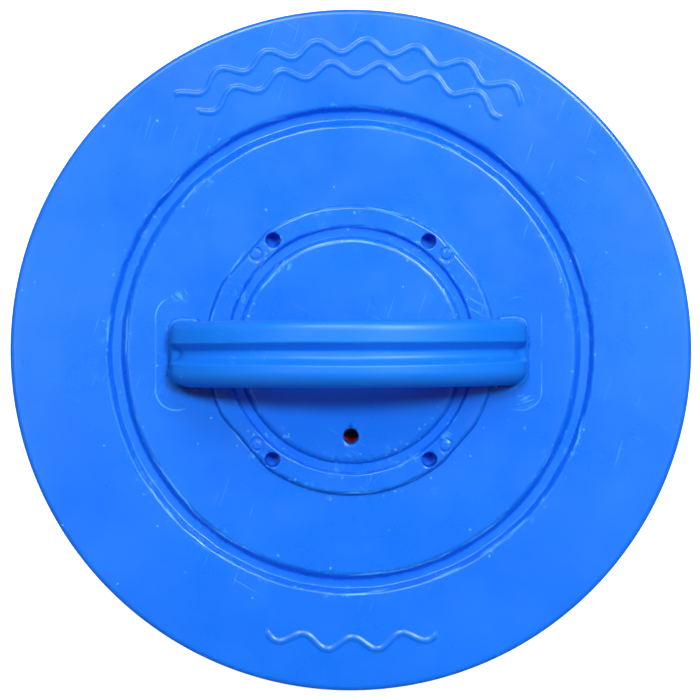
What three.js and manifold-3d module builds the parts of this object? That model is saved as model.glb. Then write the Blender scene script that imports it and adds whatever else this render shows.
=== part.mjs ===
// Pleated filter cartridge for a pool or spa skimmer, in millimetres, +Z up.
// The origin is the centre of the threaded spigot's end face, which the part stands on.
// +Z is the cartridge's axis, and the handle runs along X.
import * as THREE from "three";
import { mergeVertices } from "three/addons/utils/BufferGeometryUtils.js";
import Module from "manifold-3d";

// ---------------------------------------------------------------- driving dimensions
const GAP = 0.3; // clearance between neighbouring pieces
const THROUGH = 2; // how far a cutter runs past the face that it opens

// End caps. Radii are named from the rim inwards.
const CAP_RADIUS = 75.4; // 5-15/16 in across
const BODY_LENGTH = 209.6; // from one cap's face to the other's, 8-1/4 in
const CAP_THICKNESS = 14;
const POTTING_DEPTH = 6; // how deep the pleats and the core stand in a cap
const RIM_ROUND = 1.2; // rounding of the outer edge
const CAP_SEGMENTS = 48;
const GROOVE = { outerTop: 54.6, outerFloor: 52.6, innerFloor: 50.7, innerTop: 48.9, depth: 2.4 };
const RING = { outerFoot: 32.3, outerTop: 30.9, innerTop: 28, innerFoot: 26.7, height: 1.4 };
const HUB = { foot: 25.2, top: 23.3, height: 1.4 }; // low raised disc at the centre

// Marks on the top cap's raised ring, and the vent through its hub
const PIN_HOLE = { radius: 1.65, depth: 6, x: 17.1, y: 24.2 };
const BUTTON = { radius: 0.95, grooveRadius: 1.55, grooveDepth: 0.5, offset: 20.8 };
const VENT = { radius: 1.65, y: -19 };
const MARK_SEGMENTS = 12;

// Handle: an arch between two foot plates
const HANDLE = { halfSpan: 38.9, height: 25.4, width: 14.3, edge: 2, archRadius: 52, cornerRadius: 6 };
const HANDLE_AT = [-0.5, -0.8, 0]; // it is cast in a little off the cap's centre
const FINGER_ARCH = { halfSpan: 33.7, height: 18.9 }; // underside of the arch
const CHANNEL = { width: 4.8, depth: 2 }; // shallow channel along the handle's back
const FOOT_PLATE = { inner: 33.4, outer: 42.6, width: 25, thickness: 2.2, corner: 3.5 };
const FOOT_STEM = { length: 4.8, width: 19, thickness: 1.6 };
const FOOT_ANCHOR = { length: 8.8, width: 23, thickness: 1.6 };

// Perforated core, its plug and the pleats
const CORE = { outer: 27.2, inner: 24.3, sections: 3, lip: 5, segments: 32 };
const CORE_WINDOW = { width: 9, height: 12, rows: 3, perRow: 8 };
const CORE_PLUG = { rim: 1.2, depth: 3, clearance: 0.4 };
const MEDIA = { outer: 71.5, inner: 27.6, pleats: 48, sheet: 1.4 }; // a drawn pleat stands for several
const MEDIA_TIP = 2.6; // width of a pleat's outer fold
const MEDIA_SLOT = 0.3; // width left open at a pleat's inner fold
const BAND = { width: 8, thickness: 0.8, at: [1 / 3, 2 / 3] };
const SEAM = { width: 1.6, depth: 5, inset: 1 }; // adhesive bead between two pleats

// Threaded adapter: a tapered 1-1/2 inch pipe thread
const SPIGOT_LENGTH = 25.4;
const BORE_RADIUS = 19;
const THREAD = { pitch: 25.4 / 11.5, height: 1.55, rootRadius: 21.95, turns: 7, start: 1.6 };
const THREAD_TAPER = 1 / 32; // growth of the radius along the axis
const THREAD_SUNK = 0.3; // how deep the ridge's foot is sunk in the tube
const ADAPTER_SEGMENTS = 24;
const FLANGE = { radius: 33, thickness: 3, cover: 3, lugs: 6, lugRadius: 3 };
const COLLAR = { radius: 23.9, height: 9 }; // locates the core above the flange

const BLUE = { color: 0x2076f5, roughness: 0.42, metalness: 0 };
const WHITE = { color: 0xf1f2ef, roughness: 0.85, metalness: 0 };
const RED = { color: 0xb1261d, roughness: 0.5, metalness: 0 };
const GREY = { color: 0xdfe1e2, roughness: 0.5, metalness: 0 };
const AMBER = { color: 0xe8e2cf, roughness: 0.6, metalness: 0 };

// ---------------------------------------------------------------- levels that follow
const TOP_FACE = SPIGOT_LENGTH + BODY_LENGTH;
const CAP_DISC = CAP_THICKNESS - POTTING_DEPTH; // solid part of a cap
const RECESS_RADIUS = MEDIA.outer + 2 * GAP;
const MEDIA_BOTTOM = SPIGOT_LENGTH + CAP_DISC + GAP;
const MEDIA_TOP = TOP_FACE - CAP_DISC - GAP;
const CORE_TOP = MEDIA_TOP - CORE_PLUG.rim - GAP;
const FLANGE_BOTTOM = SPIGOT_LENGTH + FLANGE.cover;
const FLANGE_TOP = FLANGE_BOTTOM + FLANGE.thickness;

// ---------------------------------------------------------------- solids and meshes
const wasm = await Module();
wasm.setup();

// A closed geometry as a solid that can be joined and cut.
function solid(geometry) {
  geometry.deleteAttribute("normal");
  geometry.deleteAttribute("uv");
  const merged = mergeVertices(geometry, 1e-4);
  const vertProperties = Float32Array.from(merged.attributes.position.array);
  const triVerts = Uint32Array.from(merged.index.array);
  return new wasm.Manifold(new wasm.Mesh({ numProp: 3, vertProperties, triVerts }));
}

// A solid as a named mesh at a height, in its own material.
function piece(name, body, look, z = 0) {
  const { vertProperties, triVerts } = body.getMesh();
  const geometry = new THREE.BufferGeometry();
  geometry.setAttribute("position", new THREE.BufferAttribute(vertProperties, 3));
  geometry.setIndex(new THREE.BufferAttribute(triVerts, 1));
  const faceted = geometry.toNonIndexed();
  faceted.computeVertexNormals();
  const mesh = new THREE.Mesh(faceted, new THREE.MeshStandardMaterial(look));
  mesh.name = name;
  mesh.position.z = z;
  return mesh;
}

// A profile of [radius, height] points, listed upwards along its outside, turned round the Z axis.
function turned(profile, segments) {
  const points = profile.map(([radius, height]) => new THREE.Vector2(radius, height));
  return solid(new THREE.LatheGeometry(points, segments).rotateX(Math.PI / 2));
}

// A ring with a rectangular section.
function ring(inner, outer, bottom, top, segments) {
  const section = [[inner, bottom], [outer, bottom], [outer, top], [inner, top], [inner, bottom]];
  return turned(section, segments);
}

// An upright cylinder between two heights.
function rod(radius, bottom, top, segments, x = 0, y = 0) {
  const height = top - bottom;
  const geometry = new THREE.CylinderGeometry(radius, radius, height, segments);
  return solid(geometry.rotateX(Math.PI / 2).translate(x, y, bottom + height / 2));
}

// Points on an arc in the order of its angles, in degrees.
function arc(x, y, radius, from, to, steps) {
  return Array.from({ length: steps + 1 }, (_, i) => {
    const angle = THREE.MathUtils.degToRad(from + ((to - from) * i) / steps);
    return [x + radius * Math.cos(angle), y + radius * Math.sin(angle)];
  });
}

// An outline of [x, y] points.
function outline(points, Kind = THREE.Shape) {
  return new Kind(points.map(([x, y]) => new THREE.Vector2(x, y)));
}

// A rectangular plate with round corners, lying flat between two heights.
function plate(x, length, width, bottom, top, corner) {
  const dx = length / 2 - corner;
  const dy = width / 2 - corner;
  const corners = [[dx, -dy, -90], [dx, dy, 0], [-dx, dy, 90], [-dx, -dy, 180]];
  const points = corners.flatMap(([cx, cy, from]) => arc(x + cx, cy, corner, from, from + 90, 3));
  const settings = { depth: top - bottom, bevelEnabled: false };
  return solid(new THREE.ExtrudeGeometry(outline(points), settings).translate(0, 0, bottom));
}

// ---------------------------------------------------------------- top cap, in heights from its face
function faceProfile() {
  const groove = [
    [GROOVE.outerTop, 0],
    [GROOVE.outerFloor, -GROOVE.depth],
    [GROOVE.innerFloor, -GROOVE.depth],
    [GROOVE.innerTop, 0],
  ];
  const raisedRing = [
    [RING.outerFoot, 0],
    [RING.outerTop, RING.height],
    [RING.innerTop, RING.height],
    [RING.innerFoot, 0],
  ];
  const hub = [[HUB.foot, 0], [HUB.top, HUB.height], [0, HUB.height]];
  const rim = arc(CAP_RADIUS - RIM_ROUND, -RIM_ROUND, RIM_ROUND, 0, 90, 3);
  return [...rim, ...groove, ...raisedRing, ...hub];
}

// The cap's marks are the same in all four quarters.
function inEachQuarter(x, y, make) {
  return [[1, 1], [-1, 1], [-1, -1], [1, -1]].map(([sx, sy]) => make(sx * x, sy * y));
}

function pinHole(x, y) {
  const floor = RING.height - PIN_HOLE.depth;
  return rod(PIN_HOLE.radius, floor, RING.height + THROUGH, MARK_SEGMENTS, x, y);
}

function buttonGroove(x, y) {
  const floor = RING.height - BUTTON.grooveDepth;
  const top = RING.height + THROUGH;
  return ring(BUTTON.radius, BUTTON.grooveRadius, floor, top, MARK_SEGMENTS).translate([x, y, 0]);
}

function topCap() {
  const skirt = [
    [0, -CAP_DISC],
    [RECESS_RADIUS, -CAP_DISC],
    [RECESS_RADIUS, -CAP_THICKNESS],
    [CAP_RADIUS, -CAP_THICKNESS],
  ];
  const cutters = [
    ...inEachQuarter(PIN_HOLE.x, PIN_HOLE.y, pinHole),
    ...inEachQuarter(BUTTON.offset, BUTTON.offset, buttonGroove),
    rod(VENT.radius, -CAP_THICKNESS, HUB.height + THROUGH, MARK_SEGMENTS, 0, VENT.y),
    foot(1, GAP).translate(HANDLE_AT),
    foot(-1, GAP).translate(HANDLE_AT),
  ];
  const blank = turned([...skirt, ...faceProfile()], CAP_SEGMENTS);
  return cutters.reduce((cap, cutter) => cap.subtract(cutter), blank);
}

// ---------------------------------------------------------------- handle, in heights from the cap's face
// One foot: a plate flush with the cap's face, a stem and an anchor below it. A grown foot is its pocket.
function foot(side, grow = 0) {
  const x = (side * (FOOT_PLATE.inner + FOOT_PLATE.outer)) / 2;
  const stemTop = -FOOT_PLATE.thickness;
  const anchorTop = stemTop - FOOT_STEM.thickness;
  const anchorBottom = anchorTop - FOOT_ANCHOR.thickness;
  const level = (part, bottom, top, corner) =>
    plate(x, part.length + 2 * grow, part.width + 2 * grow, bottom - grow, top + grow, corner);
  const slab = { length: FOOT_PLATE.outer - FOOT_PLATE.inner, width: FOOT_PLATE.width };
  return level(slab, stemTop, 0, FOOT_PLATE.corner + grow)
    .add(level(FOOT_STEM, anchorTop - 0.1, stemTop + 0.1, 1))
    .add(level(FOOT_ANCHOR, anchorBottom, anchorTop, FOOT_PLATE.corner));
}

// The arch's outer line at a distance outside it, from the right end over the top to the left end.
function archLine(distance, bottom) {
  const centreZ = HANDLE.height - HANDLE.archRadius;
  const cornerX = HANDLE.halfSpan - HANDLE.cornerRadius;
  const reach = HANDLE.archRadius - HANDLE.cornerRadius;
  const cornerZ = centreZ + Math.sqrt(reach ** 2 - cornerX ** 2);
  const meet = THREE.MathUtils.radToDeg(Math.atan2(cornerZ - centreZ, cornerX));
  const end = HANDLE.halfSpan + distance;
  const corner = HANDLE.cornerRadius + distance;
  return [
    [end, bottom],
    ...arc(cornerX, cornerZ, corner, 0, meet, 3),
    ...arc(0, centreZ, HANDLE.archRadius + distance, meet, 180 - meet, 10).slice(1, -1),
    ...arc(-cornerX, cornerZ, corner, 180 - meet, 180, 3),
    [-end, bottom],
  ];
}

// The underside of the arch, from the left foot to the right one, bottomed a little below the face.
function fingerLine(bottom) {
  const { halfSpan, height } = FINGER_ARCH;
  const radius = (halfSpan ** 2 + height ** 2) / (2 * height);
  const half = THREE.MathUtils.radToDeg(Math.asin(halfSpan / radius));
  const line = arc(0, height - radius, radius, 90 + half, 90 - half, 12);
  return [[-halfSpan, bottom], ...line, [halfSpan, bottom]];
}

// A side view in X and Z, thick along Y and centred on it, with its long edges rounded by `edge`.
function acrossY(points, width, edge = 0) {
  const depth = width - 2 * edge;
  const round = { bevelThickness: edge, bevelSize: edge, bevelOffset: -edge, bevelSegments: 3 };
  const settings = { depth, bevelEnabled: edge > 0, ...round };
  const geometry = new THREE.ExtrudeGeometry(outline(points), settings);
  return solid(geometry.translate(0, 0, -depth / 2).rotateX(Math.PI / 2));
}

function handle() {
  const sunk = -FOOT_PLATE.thickness / 2;
  const arch = acrossY([...archLine(0, sunk), ...fingerLine(sunk)], HANDLE.width, HANDLE.edge);
  const outside = archLine(THROUGH, GAP);
  const channelFloor = archLine(-CHANNEL.depth, GAP).reverse();
  const channel = acrossY([...outside, ...channelFloor], CHANNEL.width);
  return arch.subtract(channel).add(foot(1)).add(foot(-1));
}

// ---------------------------------------------------------------- core
function coreSection(bottom, top, hasSocket, hasLip) {
  const middle = (CORE.inner + CORE.outer) / 2;
  const lipOuter = middle - GAP / 2;
  const socketInner = middle + GAP / 2;
  const body = ring(CORE.inner, CORE.outer, bottom, top, CORE.segments);
  const lip = ring(CORE.inner, lipOuter, top - 1, top + CORE.lip, CORE.segments);
  const socketRoom = rod(socketInner, bottom - THROUGH, bottom + CORE.lip + GAP, CORE.segments);
  const lipped = hasLip ? body.add(lip) : body;
  const joined = hasSocket ? lipped.subtract(socketRoom) : lipped;
  return windows(bottom, top).reduce((part, window) => part.subtract(window), joined);
}

// Each cutter crosses the whole core, so it opens two windows.
function windows(bottom, top) {
  const pitch = (top - bottom - CORE.lip) / CORE_WINDOW.rows;
  const cutters = [];
  for (let row = 0; row < CORE_WINDOW.rows; row++) {
    const z = bottom + CORE.lip + pitch * (row + 0.5) - CORE_WINDOW.height / 8;
    for (let i = 0; i < CORE_WINDOW.perRow / 2; i++) {
      const box = new THREE.BoxGeometry(CORE_WINDOW.width, 3 * CORE.outer, CORE_WINDOW.height);
      const turn = (2 * Math.PI * (i + (row % 2) / 2)) / CORE_WINDOW.perRow;
      cutters.push(solid(box.rotateZ(turn).translate(0, 0, z)));
    }
  }
  return cutters;
}

function core() {
  const group = new THREE.Group();
  const names = ["core_lower", "core_middle", "core_upper"];
  const pitch = (CORE_TOP - MEDIA_BOTTOM + GAP) / CORE.sections;
  names.forEach((name, i) => {
    const bottom = MEDIA_BOTTOM + i * pitch;
    const body = coreSection(bottom, bottom + pitch - GAP, i > 0, i < names.length - 1);
    group.add(piece(name, body, RED));
  });
  return group;
}

// A lid whose rim lies on the core's end and whose face shows through the vent.
function corePlug() {
  const lid = [
    [0, -CORE_PLUG.depth],
    [CORE.inner - CORE_PLUG.clearance, -CORE_PLUG.depth],
    [CORE.inner - CORE_PLUG.clearance, 0],
    [CORE.outer, 0],
    [CORE.outer, CORE_PLUG.rim],
    [0, CORE_PLUG.rim],
  ];
  return turned(lid, CORE.segments);
}

// ---------------------------------------------------------------- pleats
// One pleat's corner points on a side of the sheet: `tip` and `valley` are [radius, half width].
function pleatSide(tip, valley) {
  const step = (2 * Math.PI) / MEDIA.pleats;
  const at = ([radius, halfWidth], angle, side) => {
    const turn = angle + (side * halfWidth) / radius;
    return [radius * Math.cos(turn), radius * Math.sin(turn)];
  };
  return Array.from({ length: MEDIA.pleats }, (_, i) => i * step).flatMap((angle) => [
    at(tip, angle, -1),
    at(tip, angle, 1),
    at(valley, angle + step / 2, -1),
    at(valley, angle + step / 2, 1),
  ]);
}

function pleatedMedia() {
  const { outer, inner, sheet } = MEDIA;
  const halfTip = MEDIA_TIP / 2 + sheet / 2;
  const outside = pleatSide([outer, halfTip], [inner + sheet, MEDIA_SLOT / 2]);
  const inside = pleatSide([outer - sheet, halfTip - sheet], [inner, MEDIA_SLOT / 2 + sheet]);
  const shape = outline(outside);
  shape.holes.push(outline(inside, THREE.Path));
  const settings = { depth: MEDIA_TOP - MEDIA_BOTTOM, bevelEnabled: false };
  return solid(new THREE.ExtrudeGeometry(shape, settings));
}

// The bead lies in the open valley between two outer folds.
function mediaSeam() {
  const angle = Math.PI / MEDIA.pleats;
  const length = TOP_FACE - SPIGOT_LENGTH - 2 * CAP_THICKNESS - 2 * GAP;
  const radius = MEDIA.outer - SEAM.inset - SEAM.depth / 2;
  const bead = new THREE.BoxGeometry(SEAM.depth, SEAM.width, length);
  return solid(bead.translate(radius, 0, length / 2).rotateZ(angle));
}

function bands() {
  const group = new THREE.Group();
  const names = ["band_lower", "band_upper"];
  const inner = MEDIA.outer + GAP;
  names.forEach((name, i) => {
    const strap = ring(inner, inner + BAND.thickness, 0, BAND.width, CAP_SEGMENTS);
    const z = SPIGOT_LENGTH + BODY_LENGTH * BAND.at[i] - BAND.width / 2;
    group.add(piece(name, strap, WHITE, z));
  });
  return group;
}

// ---------------------------------------------------------------- bottom end, in heights from the spigot's end
// A tapered helix whose frames keep the ridge's section upright and pointing away from the axis.
class ThreadPath extends THREE.Curve {
  getPoint(t) {
    const angle = 2 * Math.PI * THREAD.turns * t;
    const rise = THREAD.pitch * THREAD.turns * t;
    const radius = THREAD.rootRadius + THREAD_TAPER * (THREAD.start + rise);
    return new THREE.Vector3(radius * Math.cos(angle), radius * Math.sin(angle), rise);
  }

  getSpacedPoints(divisions) {
    return this.getPoints(divisions);
  }

  computeFrenetFrames(segments) {
    const angles = Array.from({ length: segments + 1 }, (_, i) => {
      return (2 * Math.PI * THREAD.turns * i) / segments;
    });
    return {
      tangents: angles.map((a) => new THREE.Vector3(-Math.sin(a), Math.cos(a), 0)),
      normals: angles.map((a) => new THREE.Vector3(Math.cos(a), Math.sin(a), 0)),
      binormals: angles.map(() => new THREE.Vector3(0, 0, -1)),
    };
  }
}

function threadRidge() {
  const foot = 0.46 * THREAD.pitch;
  const crest = 0.06 * THREAD.pitch;
  const section = [
    [-THREAD_SUNK, -foot],
    [THREAD.height, -crest],
    [THREAD.height, crest],
    [-THREAD_SUNK, foot],
  ];
  const settings = { steps: ADAPTER_SEGMENTS * THREAD.turns, extrudePath: new ThreadPath() };
  const start = THREAD.start;
  return solid(new THREE.ExtrudeGeometry(outline(section), settings).translate(0, 0, start));
}

// The adapter without its thread. A grown one is the pocket that the bottom cap is cast round.
function adapterBody(grow = 0) {
  const rootAt = (z) => THREAD.rootRadius + THREAD_TAPER * z + grow;
  const neck = rootAt(FLANGE_BOTTOM);
  const bottom = grow ? -THROUGH : 0;
  const profile = [
    [BORE_RADIUS, bottom],
    [rootAt(0), bottom],
    [neck, FLANGE_BOTTOM - grow],
    [FLANGE.radius + grow, FLANGE_BOTTOM - grow],
    [FLANGE.radius + grow, FLANGE_TOP + grow],
    [COLLAR.radius + grow, FLANGE_TOP + grow],
    [COLLAR.radius + grow, FLANGE_TOP + COLLAR.height],
    [BORE_RADIUS, FLANGE_TOP + COLLAR.height],
    [BORE_RADIUS, bottom],
  ];
  let body = turned(profile, ADAPTER_SEGMENTS);
  for (let i = 0; i < FLANGE.lugs; i++) {
    const angle = (2 * Math.PI * i) / FLANGE.lugs;
    const x = FLANGE.radius * Math.cos(angle);
    const y = FLANGE.radius * Math.sin(angle);
    const radius = FLANGE.lugRadius + grow;
    body = body.add(rod(radius, FLANGE_BOTTOM - grow, FLANGE_TOP + grow, MARK_SEGMENTS, x, y));
  }
  return body;
}

function threadedAdapter() {
  return adapterBody().add(threadRidge());
}

// The bottom cap: the same groove as on top, round a low boss at the spigot.
function bottomCap() {
  const face = SPIGOT_LENGTH;
  const boss = RING.height;
  const profile = [
    [0, face - boss],
    [RING.outerTop, face - boss],
    [RING.outerFoot, face],
    [GROOVE.innerTop, face],
    [GROOVE.innerFloor, face + GROOVE.depth],
    [GROOVE.outerFloor, face + GROOVE.depth],
    [GROOVE.outerTop, face],
    ...arc(CAP_RADIUS - RIM_ROUND, face + RIM_ROUND, RIM_ROUND, -90, 0, 3),
    [CAP_RADIUS, face + CAP_THICKNESS],
    [RECESS_RADIUS, face + CAP_THICKNESS],
    [RECESS_RADIUS, face + CAP_DISC],
    [0, face + CAP_DISC],
  ];
  const bore = rod(BORE_RADIUS + GAP, 0, TOP_FACE, ADAPTER_SEGMENTS);
  return turned(profile, CAP_SEGMENTS).subtract(bore).subtract(adapterBody(GAP));
}

// ---------------------------------------------------------------- the cartridge
function topEnd() {
  const group = new THREE.Group();
  group.position.z = TOP_FACE;
  group.add(piece("top_cap", topCap(), BLUE));
  group.add(piece("handle", handle().translate(HANDLE_AT), BLUE));
  return group;
}

function filterElement() {
  const group = new THREE.Group();
  group.add(core());
  group.add(piece("core_plug", corePlug(), RED, CORE_TOP + GAP));
  group.add(piece("pleated_media", pleatedMedia(), WHITE, MEDIA_BOTTOM));
  group.add(piece("media_seam", mediaSeam(), AMBER, SPIGOT_LENGTH + CAP_THICKNESS + GAP));
  group.add(bands());
  return group;
}

function bottomEnd() {
  const group = new THREE.Group();
  group.add(piece("bottom_cap", bottomCap(), BLUE));
  group.add(piece("threaded_adapter", threadedAdapter(), GREY));
  return group;
}

const cartridge = new THREE.Group();
cartridge.add(topEnd(), filterElement(), bottomEnd());

export default cartridge;
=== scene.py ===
"""Looks for a pleated pool filter cartridge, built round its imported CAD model.

Lengths are in metres, in the CAD's own frame: +Z runs from the threaded spigot to the handle.
"""

import math

import bmesh
import bpy
from mathutils import Matrix, Vector, noise


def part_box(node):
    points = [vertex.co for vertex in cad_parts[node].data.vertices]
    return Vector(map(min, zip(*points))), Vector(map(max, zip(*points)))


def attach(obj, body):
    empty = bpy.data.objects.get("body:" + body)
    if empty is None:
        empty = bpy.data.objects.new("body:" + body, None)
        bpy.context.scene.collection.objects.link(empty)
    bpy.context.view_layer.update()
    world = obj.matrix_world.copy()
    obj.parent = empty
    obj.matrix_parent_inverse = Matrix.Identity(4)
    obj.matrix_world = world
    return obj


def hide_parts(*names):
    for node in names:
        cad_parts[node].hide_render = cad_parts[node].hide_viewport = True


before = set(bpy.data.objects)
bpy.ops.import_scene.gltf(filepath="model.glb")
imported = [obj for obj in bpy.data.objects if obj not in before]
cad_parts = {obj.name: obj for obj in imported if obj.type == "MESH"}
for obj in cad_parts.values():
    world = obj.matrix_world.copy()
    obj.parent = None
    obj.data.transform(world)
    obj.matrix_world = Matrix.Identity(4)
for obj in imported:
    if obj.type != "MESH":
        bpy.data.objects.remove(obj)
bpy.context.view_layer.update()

MM = 0.001

# ---------------------------------------------------------------- sizes from the frame
CAP_LOW, CAP_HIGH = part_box("top_cap")
BOTTOM_LOW, BOTTOM_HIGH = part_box("bottom_cap")
HANDLE_LOW, HANDLE_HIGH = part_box("handle")
PLUG_LOW, PLUG_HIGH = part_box("core_plug")
MEDIA_LOW, MEDIA_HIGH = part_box("pleated_media")
ADAPTER_LOW, ADAPTER_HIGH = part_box("threaded_adapter")

CAP_RADIUS = CAP_HIGH.x
MEDIA_RADIUS = MEDIA_HIGH.x
CORE_RADIUS = PLUG_HIGH.x
RAISED = 1.4 * MM  # height of the raised ring and of the hub
FACE = CAP_HIGH.z - RAISED
BOTTOM_FACE = BOTTOM_LOW.z + RAISED
BAND_LEVELS = [(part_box(name)[0].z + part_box(name)[1].z) / 2 for name in ("band_lower", "band_upper")]

# ---------------------------------------------------------------- sizes of the moulded shapes
RIM_ROUND = 1.3 * MM
LONGEST_STEP = 1.6 * MM  # along the section of a cap
DIP_FADE = (54 * MM, 57 * MM)  # radii between which the dips in the cast face die out
GROOVE = {"outer_top": 53.7 * MM, "outer_floor": 52.95 * MM, "inner_floor": 51 * MM, "inner_top": 49.7 * MM}
GROOVE_DEPTH = 2.4 * MM
RING = {"outer_foot": 32.2 * MM, "outer_top": 31.6 * MM, "inner_top": 27.4 * MM, "inner_foot": 26.9 * MM}
RING_FLATS = (  # direction in degrees, and how far out the ring is cut back to a straight line there
    (41, 31.1 * MM),
    (139, 30.75 * MM),
    (221, 30.75 * MM),
    (319, 31.2 * MM),
)
HUB = {"foot": 25.2 * MM, "top": 24.5 * MM}
PIN_HOLE = {"radius": 1.6 * MM, "depth": 6 * MM, "x": 17.1 * MM, "y": 24.2 * MM}
BUTTON = {"radius": 1.15 * MM, "groove_radius": 1.5 * MM, "groove_depth": 0.3 * MM, "offset": 20.8 * MM}
OUT_OF_PLACE = 0.9 * MM  # about how far a pin hole or a button may be from its place
VENT = {"radius": 1.65 * MM, "y": -19 * MM}

HANDLE_TURN = math.radians(0.35)  # it is cast in a little askew
LEG_FILLET = 0.9 * MM
HANDLE = {"half_span": 38.9 * MM, "width": 14.3 * MM, "arch_radius": 52 * MM, "corner": 6 * MM}
FRONT_ROUND = {"width": 3.5 * MM, "fall": 5 * MM}  # the rounding along the handle's front edge
FINGER_ARCH = {"half_span": 33.7 * MM, "height": 18.9 * MM}
CHANNEL = {
    "upper_edge": 2.4 * MM,  # from the handle's middle line
    "mid_width": 4.9 * MM,
    "end_width": 4.2 * MM,
    "depth": 2.2 * MM,
    "wall": 1.7 * MM,
    "slope": 1.4 * MM,
    "starts": 4.4 * MM,  # height over the face
    "is_deep": 7.5 * MM,
}
FOOT = {  # length, width and thickness of each layer, from the top down
    "plate": (9.2 * MM, 25 * MM, 2.2 * MM),
    "stem": (4.8 * MM, 19 * MM, 1.6 * MM),
    "anchor": (8.8 * MM, 23 * MM, 1.6 * MM),
}
FOOT_COVER = 0.15 * MM  # resin over a foot plate
FOOT_FIT = 0.02 * MM  # gap round a foot
WAVES = (  # radius, middle and half angle of each raised wavy line on the flange
    (62 * MM, 90, 33),
    (67 * MM, 90, 35),
    (65 * MM, -90, 17),
)
WAVE = {"half_width": 0.75 * MM, "height": 0.3 * MM, "swing": 1.4 * MM, "length": 11 * MM}
WAVE_END = 0.8  # degrees over which the end of a wavy line sinks into the flange
SCUFFS = (  # x, y, size and direction of the patches of fine marks on the cap's face
    (-15 * MM, 18.4 * MM, 2.2 * MM, 0.5),
    (38.5 * MM, -11.2 * MM, 2.8 * MM, 1.3),
    (18.5 * MM, -31 * MM, 1.8 * MM, 0.9),
    (-37.5 * MM, 11.8 * MM, 2.6 * MM, 2.6),
    (-40.4 * MM, 5.2 * MM, 1.8 * MM, 1.3),
    (21.5 * MM, -19.5 * MM, 2 * MM, 2.2),
)

PLEATS = {
    "count": 180,
    "sheet": 0.36 * MM,  # its thickness
    "tip": 0.6 * MM,  # radii of the folds
    "valley": 0.25 * MM,
    "gap": 0.4 * MM,  # from the sheet to the sides of its box
    "lean": 0.25 * MM,  # about how far a pleat may be out of line, sideways and outwards
    "stray": 0.22 * MM,
    "straight_end": 25 * MM,  # from the caps, which hold the pleats straight
}
SEAM_ANGLE = math.pi / 48  # where the CAD's seam bead lies
BAND = {"width": 8 * MM, "thickness": 0.5 * MM, "ribs": 4}
BAND_PULL = 0.35 * MM  # how far a band draws the pleats in
BAND_BED = 0.32 * MM  # how far inside the free pleat tips it lies
BAND_SAG = 0.07 * MM  # half of how far it dips between two pleats

BORE_RADIUS = 19 * MM
THREAD = {
    "pitch": 25.4 * MM / 11.5,
    "height": 1.5 * MM,
    "root": 22 * MM,
    "taper": 1 / 32,
    "starts": (0.4 * MM, 2.2 * MM),  # heights between which it rises to its full height
    "ends": (16.5 * MM, 19 * MM),
}
FLOOR_RADIUS = 1.7


# ---------------------------------------------------------------- lines and meshes
CREASE = 38  # degrees; edges sharper than this stay crisp


def rounded(corners, steps=5, closed=False):
    """A line through (a, b, rounding) corners; rounding is how far from the corner its curve starts."""
    points = []
    count = len(corners)
    for i, (a, b, rounding) in enumerate(corners):
        corner = Vector((a, b))
        at_end = not closed and i in (0, count - 1)
        if rounding == 0 or at_end:
            points.append(corner)
            continue
        before = Vector(corners[i - 1][:2])
        after = Vector(corners[(i + 1) % count][:2])
        start = corner + (before - corner).normalized() * min(rounding, (before - corner).length / 2)
        end = corner + (after - corner).normalized() * min(rounding, (after - corner).length / 2)
        for k in range(steps + 1):
            t = k / steps
            points.append(start * (1 - t) ** 2 + corner * 2 * t * (1 - t) + end * t**2)
    return points


def subdivided(points, longest):
    """The same line with no step longer than `longest`."""
    line = [points[0]]
    for start, end in zip(points, points[1:]):
        steps = max(1, math.ceil((end - start).length / longest))
        line += [start.lerp(end, k / steps) for k in range(1, steps + 1)]
    return line


def along(points, fractions):
    """The points of a line at the given fractions of its length."""
    reached = [0.0]
    for start, end in zip(points, points[1:]):
        reached.append(reached[-1] + (end - start).length)
    found = []
    k = 0
    for fraction in fractions:
        target = fraction * reached[-1]
        while k < len(points) - 2 and reached[k + 1] < target:
            k += 1
        step = max(reached[k + 1] - reached[k], 1e-9)
        found.append(points[k].lerp(points[k + 1], min(1, (target - reached[k]) / step)))
    return found


def arc(x, z, radius, start, end, steps):
    """Points on an arc, in the order of its angles in degrees."""
    angles = [math.radians(start + (end - start) * k / steps) for k in range(steps + 1)]
    return [Vector((x + radius * math.cos(a), z + radius * math.sin(a))) for a in angles]


def new_piece(name, verts, faces, smooth_angle=CREASE):
    """A mesh object with its faces pointing out, smooth apart from edges sharper than the angle."""
    mesh = bpy.data.meshes.new(name)
    mesh.from_pydata([tuple(v) for v in verts], [], faces)
    shape = bmesh.new()
    shape.from_mesh(mesh)
    bmesh.ops.recalc_face_normals(shape, faces=shape.faces)
    shape.to_mesh(mesh)
    shape.free()
    obj = bpy.data.objects.new(name, mesh)
    bpy.context.scene.collection.objects.link(obj)
    smoothed(obj, smooth_angle)
    return obj


def smoothed(obj, angle):
    """Smooth shading in which large flat faces stay flat and edges sharper than the angle stay crisp."""
    obj.data.shade_smooth()
    obj.data.set_sharp_from_angle(angle=math.radians(angle))
    if "even_shading" not in obj.modifiers:
        even = obj.modifiers.new("even_shading", "WEIGHTED_NORMAL")
        even.keep_sharp = True
        even.weight = 100


def lofted(loops, ring=False):
    """Vertices and faces of a skin over closed loops that all have the same number of points.

    It is closed by a cap at each end or, for a ring, by joining the last loop to the first.
    """
    size = len(loops[0])
    verts = [point for loop in loops for point in loop]
    faces = []
    pairs = len(loops) if ring else len(loops) - 1
    for row in range(pairs):
        low = row * size
        high = ((row + 1) % len(loops)) * size
        for i in range(size):
            j = (i + 1) % size
            faces.append((low + i, low + j, high + j, high + i))
    if not ring:
        faces.append(tuple(reversed(range(size))))
        faces.append(tuple(range(len(verts) - size, len(verts))))
    return verts, faces


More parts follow.
